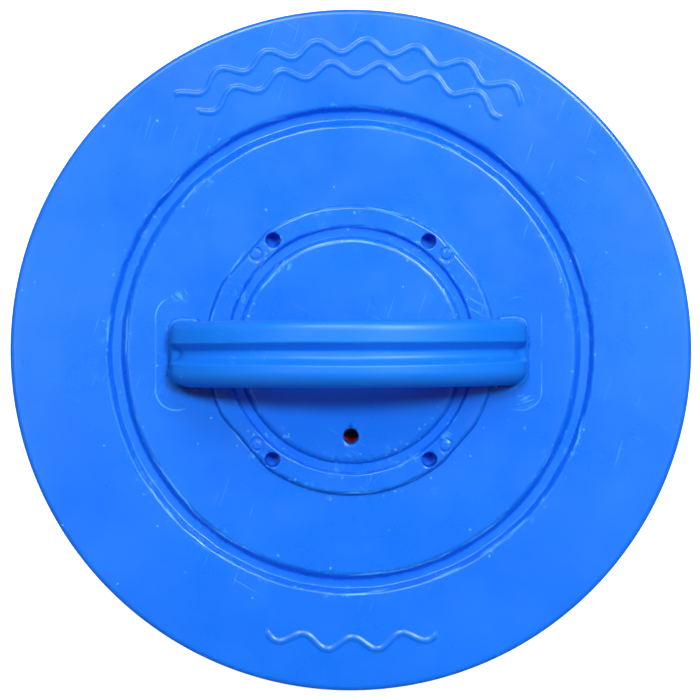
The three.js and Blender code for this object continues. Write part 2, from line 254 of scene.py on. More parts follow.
def turned(name, profile, segments, warp=None):
    """A (radius, z) profile from axis to axis, or closed on itself, turned round the Z axis."""
    on_axis = profile[0][0] == 0
    verts = []
    rings = []
    for radius, z in profile:
        if radius < 1e-7:
            rings.append([len(verts)] * segments)
            verts.append(Vector((0, 0, z)))
            continue
        rings.append(list(range(len(verts), len(verts) + segments)))
        for i in range(segments):
            angle = 2 * math.pi * i / segments
            verts.append(Vector((radius * math.cos(angle), radius * math.sin(angle), z)))
    faces = []
    following = rings[1:] if on_axis else rings[1:] + rings[:1]
    for low, high in zip(rings, following):
        for i in range(segments):
            j = (i + 1) % segments
            corners = list(dict.fromkeys((low[i], low[j], high[j], high[i])))
            if len(corners) > 2:
                faces.append(corners)
    if warp:
        verts = [warp(v) for v in verts]
    return new_piece(name, verts, faces)


def moved(obj, x, y):
    """The piece, after its mesh is shifted sideways."""
    obj.data.transform(Matrix.Translation((x, y, 0)))
    return obj


def combined(target, tools, operation="DIFFERENCE"):
    """Cuts the tools out of the target, or joins them to it, and removes them."""
    for tool in tools:
        change = target.modifiers.new("change", "BOOLEAN")
        change.operation = operation
        change.solver = "MANIFOLD"
        change.object = tool
    depsgraph = bpy.context.evaluated_depsgraph_get()
    mesh = bpy.data.meshes.new_from_object(target.evaluated_get(depsgraph))
    target.modifiers.clear()
    target.data = mesh
    for tool in tools:
        bpy.data.objects.remove(tool)
    return target


def wobble(point, size, reach, seed=0):
    """A smooth random number within about +-reach that changes over `size`."""
    return reach * noise.noise(Vector(point) / size + Vector((seed, seed * 1.7, seed * 2.3)))


def smooth_step(low, high, value):
    """0 up to the low value and 1 from the high one, with a smooth rise between them."""
    t = min(1, max(0, (value - low) / (high - low)))
    return t * t * (3 - 2 * t)


# ---------------------------------------------------------------- top cap
def skirt_corners(edge, side):
    """A cap's skirt from the core out to the rim; side is 1 where the cap lies above the skirt's edge."""
    potting = edge + side * 0.6 * MM
    return [
        (CORE_RADIUS + 0.2 * MM, potting, 0.3 * MM),
        (MEDIA_RADIUS + 0.8 * MM, potting, 0.8 * MM),
        (MEDIA_RADIUS + 2 * MM, edge, 0.8 * MM),
        (CAP_RADIUS - 0.3 * MM, edge, 0.6 * MM),
        (CAP_RADIUS, edge + side * 2 * MM, 0.5 * MM),
    ]


def groove_corners(face, side):
    """The round groove from its outer edge inwards; side is -1 where it goes down from the face."""
    floor = face + side * GROOVE_DEPTH
    return [
        (GROOVE["outer_top"], face, 0.7 * MM),
        (GROOVE["outer_floor"], floor, 0.4 * MM),
        (GROOVE["inner_floor"], floor, 0.4 * MM),
        (GROOVE["inner_top"], face, 0.8 * MM),
    ]


def top_cap_profile():
    """From the axis at the underside, out round the skirt and rim, and back in over the face."""
    recess = PLUG_HIGH.z + 0.3 * MM
    corners = [
        (0, recess, 0),
        (CORE_RADIUS + 0.2 * MM, recess, 0),
        *skirt_corners(CAP_LOW.z, 1),
        (CAP_RADIUS, FACE, RIM_ROUND),
        *groove_corners(FACE, -1),
        (RING["outer_foot"], FACE, 0.06 * MM),
        (RING["outer_top"], CAP_HIGH.z, 0.6 * MM),
        (RING["inner_top"], CAP_HIGH.z, 0.4 * MM),
        (RING["inner_foot"], FACE, 0.06 * MM),
        (HUB["foot"], FACE, 0.1 * MM),
        (HUB["top"], CAP_HIGH.z, 1.1 * MM),
        (0, CAP_HIGH.z, 0),
    ]
    return subdivided(rounded(corners), LONGEST_STEP)


def ring_limit(point, radius):
    """The ring's outer wall is cut back to a straight line at four places."""
    if not 30 * MM < radius < RING["outer_foot"] + 0.5 * MM:
        return radius
    angle = math.atan2(point.y, point.x)
    limit = radius
    for direction, reach in RING_FLATS:
        facing = math.cos(angle - math.radians(direction))
        if facing > 0.8:
            limit = min(limit, (reach + radius - RING["outer_top"]) / facing)
    return limit


def on_face(z):
    """Whether a height is that of the top cap's flat face, give or take."""
    return abs(z - FACE) <= 0.1 * MM


def hand_finished(point):
    """A cast surface is never quite flat, and its raised and cut edges wander a little."""
    radius = math.hypot(point.x, point.y)
    if radius < MM or radius > CAP_RADIUS - 3 * MM:
        return point
    wander = wobble(point, 5 * MM, 0.16 * MM) + wobble(point, 1.8 * MM, 0.1 * MM, 3)
    at_edge = not on_face(point.z) and point.z > CAP_LOW.z + 8 * MM
    scale = ring_limit(point, radius) / radius + (wander / radius if at_edge else 0)
    dip = min(0, wobble(point, 22 * MM, 0.12 * MM, 5)) * (1 - smooth_step(*DIP_FADE, radius))
    if point.z < FACE - GROOVE_DEPTH - MM:
        dip = 0
    return Vector((point.x * scale, point.y * scale, point.z + dip))


def hole_tool(name, radius, floor, top, mouth=0.25 * MM, inner=0):
    """A cutter for a round hole with a soft mouth, or for a round groove when it has an inner radius."""
    segments = 40
    if inner:
        corners = [
            (inner, floor, 0.15 * MM),
            (radius, floor, 0.15 * MM),
            (radius, top - mouth, mouth),
            (radius + mouth, top, 0),
            (radius + mouth, top + MM, 0),
            (inner - mouth, top + MM, 0),
            (inner - mouth, top, 0),
            (inner, top - mouth, mouth),
        ]
        return turned(name, rounded(corners, 3, closed=True), segments)
    corners = [
        (0, floor, 0),
        (radius, floor, 0.3 * MM),
        (radius, top - mouth, mouth),
        (radius + mouth, top, 0),
        (radius + mouth, top + MM, 0),
        (0, top + MM, 0),
    ]
    return turned(name, rounded(corners, 3), segments)


def in_each_quarter(x, y, make, seed):
    """One of the same thing in each quarter, none of them quite in its place."""
    tools = []
    for side_x, side_y in ((1, 1), (-1, 1), (-1, -1), (1, -1)):
        spot = Vector((side_x, side_y, 0))
        tools.append(moved(
            make(),
            side_x * x + wobble(spot, 0.37, OUT_OF_PLACE, seed),
            side_y * y + wobble(spot, 0.37, OUT_OF_PLACE, seed + 1),
        ))
    return tools


def wave_gap(point, mean_radius):
    """How far a point on the flange is from the middle of a wavy line."""
    pace = 2 * math.pi / WAVE["length"]
    phase = math.atan2(point.y, point.x) * mean_radius * pace
    slope = WAVE["swing"] * pace * math.cos(phase)
    off = math.hypot(point.x, point.y) - mean_radius - WAVE["swing"] * math.sin(phase)
    return abs(off) / math.hypot(1, slope)


def wave_height(point):
    """How far the wavy lines on the flange stand out of it at a point."""
    angle = math.degrees(math.atan2(point.y, point.x))
    half_width = WAVE["half_width"]
    half_crest = 0.35 * half_width
    height = 0
    for mean_radius, middle, half_angle in WAVES:
        ending = min(1, (half_angle - abs(angle - middle)) / WAVE_END)
        if ending > 0:
            rise = 1 - smooth_step(half_crest, half_width, wave_gap(point, mean_radius))
            height = max(height, WAVE["height"] * rise * ending)
    return height


def raise_waves(cap):
    """Refines the flange round the wavy lines and lifts the lines out of it."""
    reach = WAVE["half_width"] + MM
    shape = bmesh.new()
    shape.from_mesh(cap.data)
    edges = {}
    for face in shape.faces:
        centre = face.calc_center_median()
        if not on_face(centre.z):
            continue
        angle = math.degrees(math.atan2(centre.y, centre.x))
        for mean_radius, middle, half_angle in WAVES:
            if abs(angle - middle) < half_angle + 1 and wave_gap(centre, mean_radius) < reach:
                edges.update(dict.fromkeys(face.edges))
    bmesh.ops.subdivide_edges(shape, edges=list(edges), cuts=5, use_grid_fill=True)
    for vert in shape.verts:
        if on_face(vert.co.z):
            vert.co.z += wave_height(vert.co)
    shape.to_mesh(cap.data)
    shape.free()


def top_cap():
    """The cap with its wavy lines, pin holes, buttons and vent, and pockets for the handle's feet."""
    cap = turned("top_cap_cast", top_cap_profile(), segments=384, warp=hand_finished)
    raise_waves(cap)
    top = CAP_HIGH.z

    def pin_hole():
        return hole_tool("pin_hole", PIN_HOLE["radius"], top - PIN_HOLE["depth"], top)

    def button_groove():
        radius, floor = BUTTON["groove_radius"], top - BUTTON["groove_depth"]
        return hole_tool("button", radius, floor, top, mouth=0.15 * MM, inner=BUTTON["radius"])

    tools = in_each_quarter(PIN_HOLE["x"], PIN_HOLE["y"], pin_hole, seed=21)
    tools += in_each_quarter(BUTTON["offset"], BUTTON["offset"], button_groove, seed=31)
    tools.append(moved(hole_tool("vent", VENT["radius"], PLUG_LOW.z, top), 0, VENT["y"]))
    for side in (-1, 1):
        tools += [foot(side, FOOT_FIT), leg_hole(side)]
    combined(cap, tools)
    smoothed(cap, CREASE)
    return cap


def core_plug():
    """The lid in the top of the core, whose face shows through the vent."""
    rim = 1.2 * MM
    spigot = CORE_RADIUS - 3.3 * MM
    corners = [
        (0, PLUG_LOW.z, 0),
        (spigot, PLUG_LOW.z, 0.5 * MM),
        (spigot, PLUG_HIGH.z - rim, 0.2 * MM),
        (CORE_RADIUS, PLUG_HIGH.z - rim, 0.2 * MM),
        (CORE_RADIUS, PLUG_HIGH.z, 0.4 * MM),
        (0, PLUG_HIGH.z, 0),
    ]
    return turned("core_plug_moulding", rounded(corners), segments=128)


# ---------------------------------------------------------------- handle
def handle_centre():
    """The middle of the handle's box."""
    return (HANDLE_LOW + HANDLE_HIGH) / 2


def askew(point):
    """The point turned a little round the handle's upright axis."""
    centre = handle_centre()
    x, y = point.x - centre.x, point.y - centre.y
    cos, sin = math.cos(HANDLE_TURN), math.sin(HANDLE_TURN)
    return Vector((centre.x + x * cos - y * sin, centre.y + x * sin + y * cos, point.z))


def foot(side, grow=0):
    """A foot plate just under the cap's face, with its stem and anchor below. A grown one is its pocket."""
    half_length = FOOT["plate"][0] / 2
    x = (HANDLE_HIGH.x - half_length) if side > 0 else (HANDLE_LOW.x + half_length)
    y = handle_centre().y
    top = FACE - FOOT_COVER
    loops = []
    for part, (length, width, thickness) in FOOT.items():
        spread = -grow if part == "stem" else grow
        half_x, half_y = length / 2 + grow, width / 2 + grow
        corner = min(3.5 * MM, half_x / 1.4)
        plan = [(-half_x, -half_y, corner), (half_x, -half_y, corner)]
        plan += [(half_x, half_y, corner), (-half_x, half_y, corner)]
        outline = rounded(plan, 6, closed=True)
        for level in (top + spread, top - thickness - spread):
            loops.append([askew(Vector((x + p.x, y + p.y, level))) for p in outline])
        top -= thickness
    return new_piece("foot", *lofted(loops))


def leg_hole(side):
    """A cutter that lets a leg through the resin over its foot plate."""
    thickness = HANDLE["half_span"] - FINGER_ARCH["half_span"]
    section = handle_section(thickness, channel=0, bow=0, grow=LEG_FILLET + FOOT_FIT)
    centre = handle_centre()
    loops = []
    for level in (FACE - 0.5 * MM, FACE + 2 * MM):
        loops.append([
            askew(Vector((centre.x + side * (FINGER_ARCH["half_span"] + height), centre.y + y, level)))
            for y, height in section
        ])
    return new_piece("leg_hole", *lofted(loops))


def arch_lines():
    """The arch's outer and inner side lines in (x, z), from the right foot over the top to the left."""
    radius = HANDLE["arch_radius"]
    corner = HANDLE["corner"]
    centre_z = HANDLE_HIGH.z - radius
    corner_x = HANDLE["half_span"] - corner
    corner_z = centre_z + math.sqrt((radius - corner) ** 2 - corner_x**2)
    meet = math.degrees(math.atan2(corner_z - centre_z, corner_x))
    sunk = FACE - MM
    outer = [Vector((HANDLE["half_span"], sunk))]
    outer += arc(corner_x, corner_z, corner, 0, meet, 24)
    outer += arc(0, centre_z, radius, meet, 180 - meet, 120)[1:-1]
    outer += arc(-corner_x, corner_z, corner, 180 - meet, 180, 24)
    outer.append(Vector((-HANDLE["half_span"], sunk)))
    half, height = FINGER_ARCH["half_span"], FINGER_ARCH["height"]
    inner_radius = (half**2 + height**2) / (2 * height)
    reach = math.degrees(math.asin(half / inner_radius))
    inner = [Vector((half, sunk))]
    inner += arc(0, FACE + height - inner_radius, inner_radius, 90 - reach, 90 + reach, 120)
    inner.append(Vector((-half, sunk)))
    return outer, inner


def handle_section(thickness, channel, bow, grow):
    """The handle's section as (y, height) points: flat below, rounded above, with a channel on top.

    The channel's depth and its bow, which widens it, go from 0 to 1. All round, the section grows by `grow`.
    """
    half = HANDLE["width"] / 2 + grow
    upper = CHANNEL["upper_edge"]
    lower = upper - (CHANNEL["end_width"] + bow * (CHANNEL["mid_width"] - CHANNEL["end_width"]))
    top = thickness + grow
    floor = top - CHANNEL["depth"] * channel
    corners = [
        (-half, -grow, 1.5 * MM),
        (half, -grow, 1.5 * MM),
        (half, top, 2.6 * MM),
        (upper, top, 0.35 * MM),
        (upper - CHANNEL["wall"], floor, 0.4 * MM),
        (lower + CHANNEL["slope"], floor, 0.7 * MM),
        (lower, top, 0.35 * MM),
    ]
    fall = min(FRONT_ROUND["fall"], 0.85 * thickness)
    steps = 10
    for k in range(steps + 1):
        turn = math.pi / 2 * k / steps
        y = -half + FRONT_ROUND["width"] * (1 - math.sin(turn))
        corners.append((y, top - fall * (1 - math.cos(turn)), 0))
    return rounded(corners, 7, closed=True)


def leg_flare(level):
    """How far the fillet at the bottom of a leg stands out at a level over the face."""
    if level >= LEG_FILLET:
        return 0
    return LEG_FILLET - math.sqrt(max(0, LEG_FILLET**2 - (LEG_FILLET - level) ** 2))


def handle():
    """The arch, lofted from foot to foot, joined to its feet."""
    outer, inner = arch_lines()
    stations = 220
    fractions = [0.5 - 0.5 * math.cos(math.pi * k / stations) for k in range(stations + 1)]
    centre = handle_centre()
    loops = []
    for out_point, in_point in zip(along(outer, fractions), along(inner, fractions)):
        across = out_point - in_point
        direction = across.normalized()
        level = max(0, min(out_point.y, in_point.y + 0.2 * MM) - FACE)
        channel = smooth_step(CHANNEL["starts"], CHANNEL["is_deep"], out_point.y - FACE)
        bow = max(0, 1 - abs(out_point.x) / HANDLE["half_span"]) ** 0.5
        loop = []
        for y, height in handle_section(across.length, channel, bow, leg_flare(level)):
            spot = in_point + direction * height
            point = Vector((centre.x + spot.x, centre.y + y, spot.y))
            point.y += wobble(point, 24 * MM, 0.14 * MM, 11) * smooth_step(0, 5 * MM, level)
            loop.append(askew(point))
        loops.append(loop)
    arch = new_piece("handle_cast", *lofted(loops))
    combined(arch, [foot(-1), foot(1)], "UNION")
    smoothed(arch, CREASE)
    return arch


# ---------------------------------------------------------------- pleats, bands and seam
def at_bands(z, reach):
    """1 at the level of a band, and falling away over about `reach` above and below it."""
    return sum(math.exp(-(((z - level) / reach) ** 2)) for level in BAND_LEVELS)


def waist(z):
    """How far the bands pull the pleats in at a height."""
    return BAND_PULL * at_bands(z, 7 * MM)


def pleat_line(z):
    """The middle line of the folded sheet at one height, as (x, y) points round the axis."""
    step = 2 * math.pi / PLEATS["count"]
    tip, valley = PLEATS["tip"], PLEATS["valley"]
    inner = CORE_RADIUS + PLEATS["gap"] + PLEATS["sheet"] / 2 + valley
    free = 1 - at_bands(z, 9 * MM)
    ends = smooth_step(0, PLEATS["straight_end"], min(z - MEDIA_LOW.z, MEDIA_HIGH.z - z))
    line = []
    for i in range(PLEATS["count"]):
        spot = Vector((i * 7.3, 0, z / (60 * MM)))
        lean = PLEATS["lean"] * noise.noise(spot) * max(0, free) * ends
        stray = PLEATS["stray"] * noise.noise(spot + Vector((0, 5, 0))) * ends
        outer = MEDIA_RADIUS - PLEATS["gap"] - tip - PLEATS["sheet"] / 2 + stray - waist(z)
        tip_angle = SEAM_ANGLE + (i + 0.5) * step
        for turn in (-90, -50, 0, 50, 90):
            bend = math.radians(turn)
            radius = outer + tip * math.cos(bend)
            line.append((radius, tip_angle + (tip * math.sin(bend) + lean) / radius))
        valley_angle = SEAM_ANGLE + (i + 1) * step
        for turn in (-90, 0, 90):
            bend = math.radians(turn)
            radius = inner - valley * math.cos(bend)
            line.append((radius, valley_angle + valley * math.sin(bend) / radius))
    return [Vector((r * math.cos(a), r * math.sin(a))) for r, a in line]


def offset_line(line, distance):
    """A closed line moved sideways, to its right as it runs anticlockwise."""
    least_cosine = 0.55  # it keeps the points of sharp corners from moving too far
    moved_points = []
    count = len(line)
    for i, point in enumerate(line):
        before = (point - line[i - 1]).normalized()
        after = (line[(i + 1) % count] - point).normalized()
        tangent = (before + after).normalized()
        widen = 1 / max(least_cosine, tangent.dot(after))
        moved_points.append(point + Vector((tangent.y, -tangent.x)) * distance * widen)
    return moved_points


def pleated_media():
    """The folded sheet, which runs once round the core from seam to seam."""
    rows = 22
    half = PLEATS["sheet"] / 2
    outside = []
    inside = []
    for row in range(rows + 1):
        z = MEDIA_LOW.z + (MEDIA_HIGH.z - MEDIA_LOW.z) * row / rows
        line = pleat_line(z)
        outside.append([Vector((p.x, p.y, z)) for p in offset_line(line, half)])
        inside.append([Vector((p.x, p.y, z)) for p in offset_line(line, -half)])
    media = new_piece("pleated_sheet", *lofted(outside + inside[::-1], ring=True), smooth_angle=60)
    return media


def band_section():
    """A band's ribbed section as (out, up) points."""
    half = BAND["width"] / 2
    thick = BAND["thickness"]
    thin = thick * 0.7
    rib = BAND["width"] / BAND["ribs"]
    corners = [(0, -half, 0), (thin, -half, 0.2 * MM)]
    for k in range(BAND["ribs"]):
        low = -half + rib * (k + 0.15)
        high = -half + rib * (k + 0.85)
        corners += [(thin, low, 0.15 * MM), (thick, low + 0.25 * MM, 0.2 * MM)]
        corners += [(thick, high - 0.25 * MM, 0.2 * MM), (thin, high, 0.15 * MM)]
    corners += [(thin, half, 0.2 * MM), (0, half, 0)]
    return rounded(corners, 2)


def band(name, level):
    """A ribbed strap that lies on the pleat tips and dips a little between them."""
    segments = PLEATS["count"] * 4
    inner = MEDIA_RADIUS - PLEATS["gap"] - BAND_BED
    section = band_section()
    loops = []
    for i in range(segments):
        angle = SEAM_ANGLE + 2 * math.pi * i / segments
        lie = -BAND_SAG * math.cos(PLEATS["count"] * (angle - SEAM_ANGLE))
        spot = Vector((math.cos(angle), math.sin(angle), level * 9))
        drift = wobble(spot, 0.35, 0.5 * MM, 7)
        radius = inner + lie
        loops.append([
            Vector(((radius + out) * math.cos(angle), (radius + out) * math.sin(angle), level + up + drift))
            for out, up in section
        ])
    return new_piece(name, *lofted(loops, ring=True))


def seam_bead():
    """The wavy bead of adhesive between the strip's first and last pleat."""
    low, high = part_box("media_seam")
    half_thickness = 0.46 * MM
    set_back = 1.15 * MM
    depth = 4 * MM
    cos, sin = math.cos(SEAM_ANGLE), math.sin(SEAM_ANGLE)
    stations = 160
    loops = []
    for k in range(stations + 1):
        z = low.z + (high.z - low.z) * k / stations
        spread = half_thickness + wobble((0, 0, z), 6 * MM, 0.1 * MM, 2)
        front = MEDIA_RADIUS - set_back - waist(z) + wobble((0, 0, z), 9 * MM, 0.25 * MM, 4)
        back = front - depth
        corners = [(back, -spread, 0.2 * MM), (front, -spread, 0.5 * MM)]
        corners += [(front, spread, 0.5 * MM), (back, spread, 0.2 * MM)]
        loops.append([
            Vector((p.x * cos - p.y * sin, p.x * sin + p.y * cos, z))
            for p in rounded(corners, 4, closed=True)
        ])
    return new_piece("seam_bead", *lofted(loops))


# ---------------------------------------------------------------- bottom end
def bottom_cap():
    """The cap round the spigot, with the same skirt and groove as the top cap."""
    inside = ADAPTER_HIGH.z - 6 * MM  # the resin round the collar ends below the collar's top
    bore = THREAD["root"] + THREAD["taper"] * BOTTOM_FACE + 0.15 * MM
    corners = [
        (bore, BOTTOM_LOW.z, 0.3 * MM),
        (RING["outer_top"], BOTTOM_LOW.z, 0.4 * MM),
        (RING["outer_foot"], BOTTOM_FACE, 0.4 * MM),
        *reversed(groove_corners(BOTTOM_FACE, 1)),
        (CAP_RADIUS, BOTTOM_FACE, RIM_ROUND),
        *reversed(skirt_corners(BOTTOM_HIGH.z, -1)),
        (CORE_RADIUS + 0.2 * MM, inside, 0),
        (bore, inside, 0),
    ]
    line = rounded(corners, closed=True)
    profile = subdivided(line + line[:1], LONGEST_STEP)[:-1]
    return turned("bottom_cap_cast", profile, segments=256)


def thread_height(z, angle):
    """How far the thread stands out of its root at a height and an angle."""
    turns = (z - 1.4 * MM) / THREAD["pitch"] - angle / (2 * math.pi)
    phase = abs((turns % 1) - 0.5) * 2  # 0 at the middle of the crest and 1 at the middle of the root
    crest, root = 0.12, 0.92
    shape = min(1, max(0, (root - phase) / (root - crest)))
    start = smooth_step(*THREAD["starts"], z)
    finish = 1 - smooth_step(*THREAD["ends"], z)
    return THREAD["height"] * shape * start * finish


def adapter_profile(rows):
    """The spigot's outer side in even rows, and then the flange, the collar and the bore back to its foot."""
    neck_top = BOTTOM_LOW.z + 4.1 * MM
    collar = 23.9 * MM
    flange = 32.9 * MM
    chamfer = 0.5 * MM
    outer = []
    for row in range(rows + 1):
        z = ADAPTER_LOW.z + chamfer + (neck_top - ADAPTER_LOW.z - chamfer) * row / rows
        outer.append((THREAD["root"] + THREAD["taper"] * z, z))
    corners = [
        (*outer[-1], 0),
        (flange, neck_top, 0.4 * MM),
        (flange, neck_top + 3 * MM, 0.4 * MM),
        (collar, neck_top + 3 * MM, 0.4 * MM),
        (collar, ADAPTER_HIGH.z, 0.5 * MM),
        (BORE_RADIUS, ADAPTER_HIGH.z, 0.5 * MM),
        (BORE_RADIUS, ADAPTER_LOW.z, 0.6 * MM),
        (THREAD["root"] - 0.4 * MM, ADAPTER_LOW.z, 0.3 * MM),
        (*outer[0], 0),
    ]
    closing = subdivided(rounded(corners, 4), 3 * MM)
    return outer + [(p.x, p.y) for p in closing[1:-1]]


def threaded_adapter():
    """Spigot, flange and collar in one moulding, with its thread in the outer skin."""
    segments = 144
    rows = 150
    profile = adapter_profile(rows)
    loops = []
    for i in range(segments):
        angle = 2 * math.pi * i / segments
        loop = []
        for k, (radius, z) in enumerate(profile):
            full = radius + (thread_height(z, angle) if k <= rows else 0)
            loop.append(Vector((full * math.cos(angle), full * math.sin(angle), z)))
        loops.append(loop)
    return new_piece("threaded_adapter_moulding", *lofted(loops, ring=True), smooth_angle=50)


# ---------------------------------------------------------------- materials
def feed(look, node, inputs):
    """Sets a node's inputs to values or plain colours, or links them from other nodes' sockets.

    An input goes by its name with underscores for spaces, or by its number, as i0 or i1.
    """
    for name, value in inputs.items():
        by_number = name[0] == "i" and name[1:].isdigit()
        socket = node.inputs[int(name[1:]) if by_number else name.replace("_", " ")]
        if isinstance(value, bpy.types.NodeSocket):
            look.node_tree.links.new(value, socket)
        elif socket.type == "RGBA":
            socket.default_value = (*value, 1)
        else:
            socket.default_value = value


def add(look, kind, operation=None, **inputs):
    """A new node with its inputs fed."""
    node = look.node_tree.nodes.new("ShaderNode" + kind)
    if operation:
        node.operation = operation
    feed(look, node, inputs)
    return node


def set_shader(look, **inputs):
    """Feeds the inputs of the material's shader."""
    feed(look, look.node_tree.nodes["Principled BSDF"], inputs)


def new_look(name, roughness, specular, **inputs):
    """A material whose shader has these plain values."""
    look = bpy.data.materials.new(name)
    look.use_nodes = True
    set_shader(look, Roughness=roughness, Specular_IOR_Level=specular, **inputs)
    return look


def place(look):
    """Where a point is, in the cartridge's own frame."""
    return add(look, "TexCoord").outputs["Object"]


def coords(look, scale=(1, 1, 1), turn=0):
    """The place, turned round the Z axis and then stretched."""
    spot = place(look)
    if turn:
        spot = add(look, "Mapping", Vector=spot, Rotation=(0, 0, turn)).outputs["Vector"]
    return add(look, "Mapping", Vector=spot, Scale=scale).outputs["Vector"]


def grain(look, scale, detail=4, vector=None, rough=0.5):
    """Cloudy noise, mostly between 0.3 and 0.7."""
    vector = vector or coords(look)
    return add(look, "TexNoise", Vector=vector, Scale=scale, Detail=detail, Roughness=rough).outputs["Fac"]


def span(look, value, low, high, to_low=0.0, to_high=1.0):
    """The value with low..high stretched to to_low..to_high, and held there outside."""
    node = add(look, "MapRange", Value=value, From_Min=low, From_Max=high, To_Min=to_low, To_Max=to_high)
    node.clamp = True
    return node.outputs["Result"]


def mix(look, factor, first, second):
    """A colour from the first to the second as the factor goes from 0 to 1."""
    node = add(look, "Mix")
    node.data_type = "RGBA"
    feed(look, node, {"i0": factor, "i6": first, "i7": second})
    return node.outputs[2]


def calc(look, operation, first, second=0):
    """A number worked out from two numbers, or from one."""
    return add(look, "Math", operation, i0=first, i1=second).outputs[0]


def product(look, first, second):
    """The first number times the second."""
    return calc(look, "MULTIPLY", first, second)


def strongest(look, *marks):
    """The greatest of several numbers at each point."""
    greatest = marks[0]
    for mark in marks[1:]:
        greatest = calc(look, "MAXIMUM", greatest, mark)
    return greatest


def calc_vector(look, operation, first, second=(0, 0, 0)):
    """A vector worked out from two vectors, or from one. A distance or a length comes out as a number."""
    node = add(look, "VectorMath", operation, i0=first, i1=second)
    return node.outputs["Value" if operation in ("DISTANCE", "LENGTH") else "Vector"]


def bumps(look, height, strength, distance):
    """A normal tilted by the slopes of a height."""
    return add(look, "Bump", Strength=strength, Distance=distance, Height=height).outputs["Normal"]


def scratches(look, turn, threshold):
    """Thin long marks in one direction: 1 on a mark and 0 off it."""
    lines = span(look, grain(look, 1, 2, coords(look, (2600, 70, 400), turn)), threshold, threshold + 0.03)
    patches = span(look, grain(look, 45, 2), 0.52, 0.66)
    return product(look, lines, patches)


def nicks(look, spacing, size):
    """Small ragged specks, one in every few cells: 1 on a speck and 0 off it. The size is in cells."""
    drift = add(look, "TexNoise", Vector=coords(look), Scale=1.6 / (spacing * size), Detail=2)
    ragged = add(look, "VectorMath", "SCALE", i0=drift.outputs["Color"], Scale=spacing * size * 3)
    spot = calc_vector(look, "ADD", coords(look), ragged.outputs["Vector"])
    cells = add(look, "TexVoronoi", Vector=spot, Scale=1 / spacing, Randomness=1.0)
    near = span(look, cells.outputs["Distance"], size * 0.6, size, 1, 0)
    chosen = span(look, add(look, "SeparateColor", Color=cells.outputs["Color"]).outputs[0], 0.86, 0.88)
    return product(look, near, chosen)


def from_axis(look):
    """Distance from the cartridge's axis."""
    return calc_vector(look, "LENGTH", calc_vector(look, "MULTIPLY", place(look), (1, 1, 0)))


def near_edges(look, radii, reach, stray):
    """1 on the round edges at the given radii, and 0 further than `reach` from them, give or take."""
    drift = span(look, grain(look, 120, 3), 0.3, 0.7, -stray, stray)
    radius = calc(look, "ADD", from_axis(look), drift)
    nearest = 1.0
    for edge in radii:
        gap = calc(look, "ABSOLUTE", calc(look, "SUBTRACT", radius, edge))
        nearest = calc(look, "MINIMUM", gap, nearest)
    return span(look, nearest, 0, reach, 1, 0)


def edge_wear(look):
    """Flash, chips and scrapes along the round edges of the top cap."""
    raised_edges = (HUB["top"] - 0.5 * MM, RING["inner_top"], RING["outer_top"])
    edges = raised_edges + (GROOVE["inner_top"], GROOVE["outer_top"])
    flash = near_edges(look, edges, reach=0.3 * MM, stray=0.35 * MM)
    flash = product(look, flash, span(look, grain(look, 95), 0.5, 0.6))
    beside = near_edges(look, edges, reach=2 * MM, stray=0.6 * MM)
    chips = product(look, span(look, beside, 0, 0.4), nicks(look, spacing=1.3 * MM, size=0.24))
    scrapes = product(look, beside, span(look, grain(look, 620, rough=0.7), 0.56, 0.64))
    scrapes = product(look, scrapes, span(look, grain(look, 110, 3), 0.5, 0.62))
    return [product(look, flash, 0.95), chips, product(look, scrapes, 0.7)]


def scuff(look, x, y, size, turn):
    """A patch of short fine marks about one place on the cap's face."""
    away = calc_vector(look, "DISTANCE", place(look), (x, y, FACE + RAISED))
    patch = span(look, away, size * 0.3, size, 1, 0)
    lines = span(look, grain(look, 1, 3, coords(look, (1900, 420, 400), turn)), 0.5, 0.62)
    return product(look, patch, lines)


def foot_edge_highlights(look):
    """Broken faint painted highlight lines on the cap's face over the outer edges of the foot plates."""
    centre = handle_centre()
    corner = 4.4 * MM
    half_x, half_y = FOOT["plate"][0] / 2, FOOT["plate"][1] / 2
    one_quarter = calc_vector(look, "ABSOLUTE", calc_vector(look, "SUBTRACT", place(look), tuple(centre)))
    from_plate = calc_vector(look, "SUBTRACT", one_quarter, (HANDLE_HIGH.x - centre.x - half_x, 0, 0))
    reach = calc_vector(look, "ABSOLUTE", from_plate)
    beyond = calc_vector(look, "SUBTRACT", reach, (half_x - corner, half_y - corner, MM))
    flat = calc_vector(look, "MULTIPLY", calc_vector(look, "MAXIMUM", beyond), (1, 1, 0))
    gap = calc(look, "ABSOLUTE", calc(look, "SUBTRACT", calc_vector(look, "LENGTH", flat), corner))
    line = span(look, gap, 0.05 * MM, 0.22 * MM, 1, 0)
    height = add(look, "SeparateXYZ", Vector=place(look)).outputs["Z"]
    plan = add(look, "SeparateXYZ", Vector=from_plate).outputs
    shown = span(look, grain(look, 75, 3), 0.38, 0.48)
    at_face = span(look, height, FACE - MM, FACE - 0.5 * MM)
    outer_half = span(look, plan["X"], -2.5 * MM, 0)
    at_corner = span(look, plan["Y"], 6 * MM, 10 * MM, 0.3, 1)
    for limit in (at_face, outer_half, at_corner):
        shown = product(look, shown, limit)
    return product(look, line, shown)


def round_streaks(look):
    """Fine streaks round the axis, as a turned mould leaves them."""
    radius = product(look, from_axis(look), 900)
    return grain(look, 1, 3, add(look, "CombineXYZ", X=radius).outputs[0])


